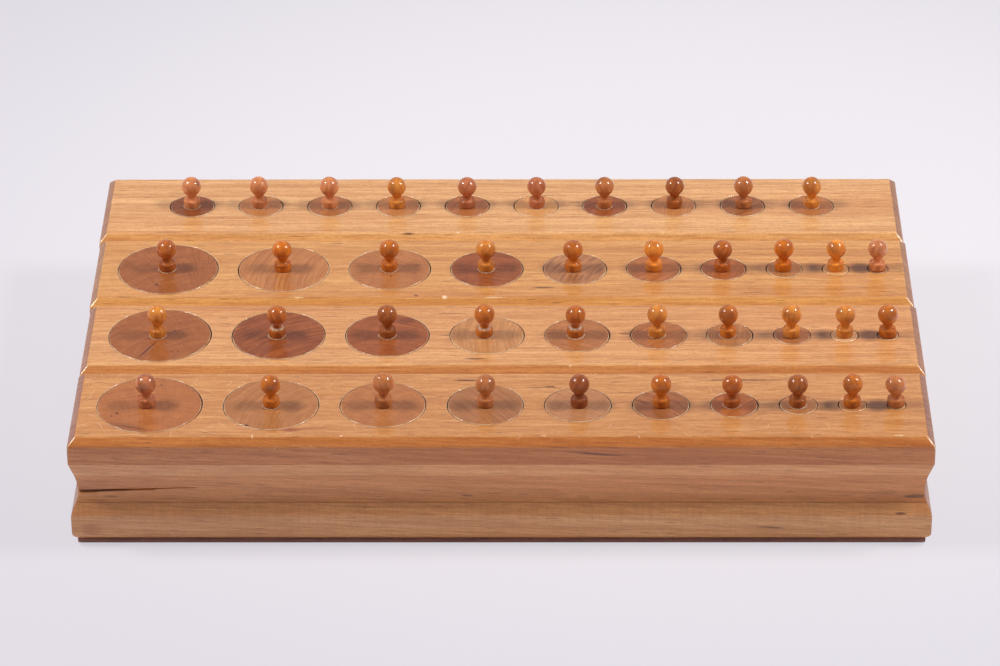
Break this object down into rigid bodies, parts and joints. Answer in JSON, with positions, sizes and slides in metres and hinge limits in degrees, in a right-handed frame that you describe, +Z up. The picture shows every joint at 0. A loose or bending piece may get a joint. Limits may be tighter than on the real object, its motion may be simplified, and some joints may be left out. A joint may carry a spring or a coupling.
{
  "type": "knobbed cylinder block set",
  "caption": "Long wooden blocks with rows of blind holes, each hole holding a loose wooden cylinder lifted by a small turned knob; diameters and heights step along the rows.",
  "frame": {"origin": "on the ground under the middle of the set of blocks", "axes": "+X along the blocks, towards the small holes; +Y from the front block towards the back one; +Z up, the way the cylinders lift out"},
  "size_m": [0.4466, 0.285, 0.0818],
  "materials": {
    "block_wood": "clear gloss lacquer on fine-grained golden tan wood",
    "cylinder_wood": "clear lacquer on brown end grain",
    "knob_wood": "clear gloss lacquer on turned reddish wood",
    "base_board": "matt dark brown pressed hardboard"
  },
  "bodies": {
    "front_block": {"front_block": "block_wood", "front_base": "base_board"},
    "second_block": {"second_block": "block_wood", "second_base": "base_board"},
    "third_block": {"third_block": "block_wood", "third_base": "base_board"},
    "back_block": {"back_block": "block_wood", "back_base": "base_board"},
    "front_cylinder_1": {"front_cylinder_1": "cylinder_wood", "front_knob_1": "knob_wood"},
    "front_cylinder_2": {"front_cylinder_2": "cylinder_wood", "front_knob_2": "knob_wood"},
    "front_cylinder_3": {"front_cylinder_3": "cylinder_wood", "front_knob_3": "knob_wood"},
    "front_cylinder_4": {"front_cylinder_4": "cylinder_wood", "front_knob_4": "knob_wood"},
    "front_cylinder_5": {"front_cylinder_5": "cylinder_wood", "front_knob_5": "knob_wood"},
    "front_cylinder_6": {"front_cylinder_6": "cylinder_wood", "front_knob_6": "knob_wood"},
    "front_cylinder_7": {"front_cylinder_7": "cylinder_wood", "front_knob_7": "knob_wood"},
    "front_cylinder_8": {"front_cylinder_8": "cylinder_wood", "front_knob_8": "knob_wood"},
    "front_cylinder_9": {"front_cylinder_9": "cylinder_wood", "front_knob_9": "knob_wood"},
    "front_cylinder_10": {"front_cylinder_10": "cylinder_wood", "front_knob_10": "knob_wood"},
    "second_cylinder_1": {"second_cylinder_1": "cylinder_wood"},
    "second_cylinder_2": {"second_cylinder_2": "cylinder_wood"},
    "second_cylinder_3": {"second_cylinder_3": "cylinder_wood"},
    "second_cylinder_4": {"second_cylinder_4": "cylinder_wood"},
    "second_cylinder_5": {"second_cylinder_5": "cylinder_wood"},
    "second_cylinder_6": {"second_cylinder_6": "cylinder_wood"},
    "second_cylinder_7": {"second_cylinder_7": "cylinder_wood"},
    "second_cylinder_8": {"second_cylinder_8": "cylinder_wood"},
    "second_cylinder_9": {"second_cylinder_9": "cylinder_wood"},
    "second_cylinder_10": {"second_cylinder_10": "cylinder_wood"},
    "third_cylinder_1": {"third_cylinder_1": "cylinder_wood"},
    "third_cylinder_2": {"third_cylinder_2": "cylinder_wood"},
    "third_cylinder_3": {"third_cylinder_3": "cylinder_wood"},
    "third_cylinder_4": {"third_cylinder_4": "cylinder_wood"},
    "third_cylinder_5": {"third_cylinder_5": "cylinder_wood"},
    "third_cylinder_6": {"third_cylinder_6": "cylinder_wood"},
    "third_cylinder_7": {"third_cylinder_7": "cylinder_wood"},
    "third_cylinder_8": {"third_cylinder_8": "cylinder_wood"},
    "third_cylinder_9": {"third_cylinder_9": "cylinder_wood"},
    "third_cylinder_10": {"third_cylinder_10": "cylinder_wood"},
    "back_cylinder_1": {"back_cylinder_1": "cylinder_wood"},
    "back_cylinder_2": {"back_cylinder_2": "cylinder_wood"},
    "back_cylinder_3": {"back_cylinder_3": "cylinder_wood"},
    "back_cylinder_4": {"back_cylinder_4": "cylinder_wood"},
    "back_cylinder_5": {"back_cylinder_5": "cylinder_wood"},
    "back_cylinder_6": {"back_cylinder_6": "cylinder_wood"},
    "back_cylinder_7": {"back_cylinder_7": "cylinder_wood"},
    "back_cylinder_8": {"back_cylinder_8": "cylinder_wood"},
    "back_cylinder_9": {"back_cylinder_9": "cylinder_wood"},
    "back_cylinder_10": {"back_cylinder_10": "cylinder_wood"}
  },
  "joints": [
    {"name": "second_block_slide", "type": "slide", "parent": "front_block", "child": "second_block", "axis": [0, 1, 0], "range_m": [0, 0.1]},
    {"name": "third_block_slide", "type": "slide", "parent": "second_block", "child": "third_block", "axis": [0, 1, 0], "range_m": [0, 0.1]},
    {"name": "back_block_slide", "type": "slide", "parent": "third_block", "child": "back_block", "axis": [0, 1, 0], "range_m": [0, 0.1]},
    {"name": "front_cylinder_1_lift", "type": "slide", "parent": "front_block", "child": "front_cylinder_1", "axis": [0, 0, 1], "range_m": [0, 0.06]},
    {"name": "front_cylinder_2_lift", "type": "slide", "parent": "front_block", "child": "front_cylinder_2", "axis": [0, 0, 1], "range_m": [0, 0.06]},
    {"name": "front_cylinder_3_lift", "type": "slide", "parent": "front_block", "child": "front_cylinder_3", "axis": [0, 0, 1], "range_m": [0, 0.06]},
    {"name": "front_cylinder_4_lift", "type": "slide", "parent": "front_block", "child": "front_cylinder_4", "axis": [0, 0, 1], "range_m": [0, 0.06]},
    {"name": "front_cylinder_5_lift", "type": "slide", "parent": "front_block", "child": "front_cylinder_5", "axis": [0, 0, 1], "range_m": [0, 0.06]},
    {"name": "front_cylinder_6_lift", "type": "slide", "parent": "front_block", "child": "front_cylinder_6", "axis": [0, 0, 1], "range_m": [0, 0.06]},
    {"name": "front_cylinder_7_lift", "type": "slide", "parent": "front_block", "child": "front_cylinder_7", "axis": [0, 0, 1], "range_m": [0, 0.06]},
    {"name": "front_cylinder_8_lift", "type": "slide", "parent": "front_block", "child": "front_cylinder_8", "axis": [0, 0, 1], "range_m": [0, 0.06]},
    {"name": "front_cylinder_9_lift", "type": "slide", "parent": "front_block", "child": "front_cylinder_9", "axis": [0, 0, 1], "range_m": [0, 0.06]},
    {"name": "front_cylinder_10_lift", "type": "slide", "parent": "front_block", "child": "front_cylinder_10", "axis": [0, 0, 1], "range_m": [0, 0.06]},
    {"name": "second_cylinder_1_lift", "type": "slide", "parent": "second_block", "child": "second_cylinder_1", "axis": [0, 0, 1], "range_m": [0, 0.06]},
    {"name": "second_cylinder_2_lift", "type": "slide", "parent": "second_block", "child": "second_cylinder_2", "axis": [0, 0, 1], "range_m": [0, 0.055]},
    {"name": "second_cylinder_3_lift", "type": "slide", "parent": "second_block", "child": "second_cylinder_3", "axis": [0, 0, 1], "range_m": [0, 0.05]},
    {"name": "second_cylinder_4_lift", "type": "slide", "parent": "second_block", "child": "second_cylinder_4", "axis": [0, 0, 1], "range_m": [0, 0.045]},
    {"name": "second_cylinder_5_lift", "type": "slide", "parent": "second_block", "child": "second_cylinder_5", "axis": [0, 0, 1], "range_m": [0, 0.04]},
    {"name": "second_cylinder_6_lift", "type": "slide", "parent": "second_block", "child": "second_cylinder_6", "axis": [0, 0, 1], "range_m": [0, 0.035]},
    {"name": "second_cylinder_7_lift", "type": "slide", "parent": "second_block", "child": "second_cylinder_7", "axis": [0, 0, 1], "range_m": [0, 0.03]},
    {"name": "second_cylinder_8_lift", "type": "slide", "parent": "second_block", "child": "second_cylinder_8", "axis": [0, 0, 1], "range_m": [0, 0.025]},
    {"name": "second_cylinder_9_lift", "type": "slide", "parent": "second_block", "child": "second_cylinder_9", "axis": [0, 0, 1], "range_m": [0, 0.02]},
    {"name": "second_cylinder_10_lift", "type": "slide", "parent": "second_block", "child": "second_cylinder_10", "axis": [0, 0, 1], "range_m": [0, 0.015]},
    {"name": "third_cylinder_1_lift", "type": "slide", "parent": "third_block", "child": "third_cylinder_1", "axis": [0, 0, 1], "range_m": [0, 0.015]},
    {"name": "third_cylinder_2_lift", "type": "slide", "parent": "third_block", "child": "third_cylinder_2", "axis": [0, 0, 1], "range_m": [0, 0.02]},
    {"name": "third_cylinder_3_lift", "type": "slide", "parent": "third_block", "child": "third_cylinder_3", "axis": [0, 0, 1], "range_m": [0, 0.025]},
    {"name": "third_cylinder_4_lift", "type": "slide", "parent": "third_block", "child": "third_cylinder_4", "axis": [0, 0, 1], "range_m": [0, 0.03]},
    {"name": "third_cylinder_5_lift", "type": "slide", "parent": "third_block", "child": "third_cylinder_5", "axis": [0, 0, 1], "range_m": [0, 0.035]},
    {"name": "third_cylinder_6_lift", "type": "slide", "parent": "third_block", "child": "third_cylinder_6", "axis": [0, 0, 1], "range_m": [0, 0.04]},
    {"name": "third_cylinder_7_lift", "type": "slide", "parent": "third_block", "child": "third_cylinder_7", "axis": [0, 0, 1], "range_m": [0, 0.045]},
    {"name": "third_cylinder_8_lift", "type": "slide", "parent": "third_block", "child": "third_cylinder_8", "axis": [0, 0, 1], "range_m": [0, 0.05]},
    {"name": "third_cylinder_9_lift", "type": "slide", "parent": "third_block", "child": "third_cylinder_9", "axis": [0, 0, 1], "range_m": [0, 0.055]},
    {"name": "third_cylinder_10_lift", "type": "slide", "parent": "third_block", "child": "third_cylinder_10", "axis": [0, 0, 1], "range_m": [0, 0.06]},
    {"name": "back_cylinder_1_lift", "type": "slide", "parent": "back_block", "child": "back_cylinder_1", "axis": [0, 0, 1], "range_m": [0, 0.06]},
    {"name": "back_cylinder_2_lift", "type": "slide", "parent": "back_block", "child": "back_cylinder_2", "axis": [0, 0, 1], "range_m": [0, 0.055]},
    {"name": "back_cylinder_3_lift", "type": "slide", "parent": "back_block", "child": "back_cylinder_3", "axis": [0, 0, 1], "range_m": [0, 0.05]},
    {"name": "back_cylinder_4_lift", "type": "slide", "parent": "back_block", "child": "back_cylinder_4", "axis": [0, 0, 1], "range_m": [0, 0.045]},
    {"name": "back_cylinder_5_lift", "type": "slide", "parent": "back_block", "child": "back_cylinder_5", "axis": [0, 0, 1], "range_m": [0, 0.04]},
    {"name": "back_cylinder_6_lift", "type": "slide", "parent": "back_block", "child": "back_cylinder_6", "axis": [0, 0, 1], "range_m": [0, 0.035]},
    {"name": "back_cylinder_7_lift", "type": "slide", "parent": "back_block", "child": "back_cylinder_7", "axis": [0, 0, 1], "range_m": [0, 0.03]},
    {"name": "back_cylinder_8_lift", "type": "slide", "parent": "back_block", "child": "back_cylinder_8", "axis": [0, 0, 1], "range_m": [0, 0.025]},
    {"name": "back_cylinder_9_lift", "type": "slide", "parent": "back_block", "child": "back_cylinder_9", "axis": [0, 0, 1], "range_m": [0, 0.02]},
    {"name": "back_cylinder_10_lift", "type": "slide", "parent": "back_block", "child": "back_cylinder_10", "axis": [0, 0, 1], "range_m": [0, 0.015]}
  ]
}
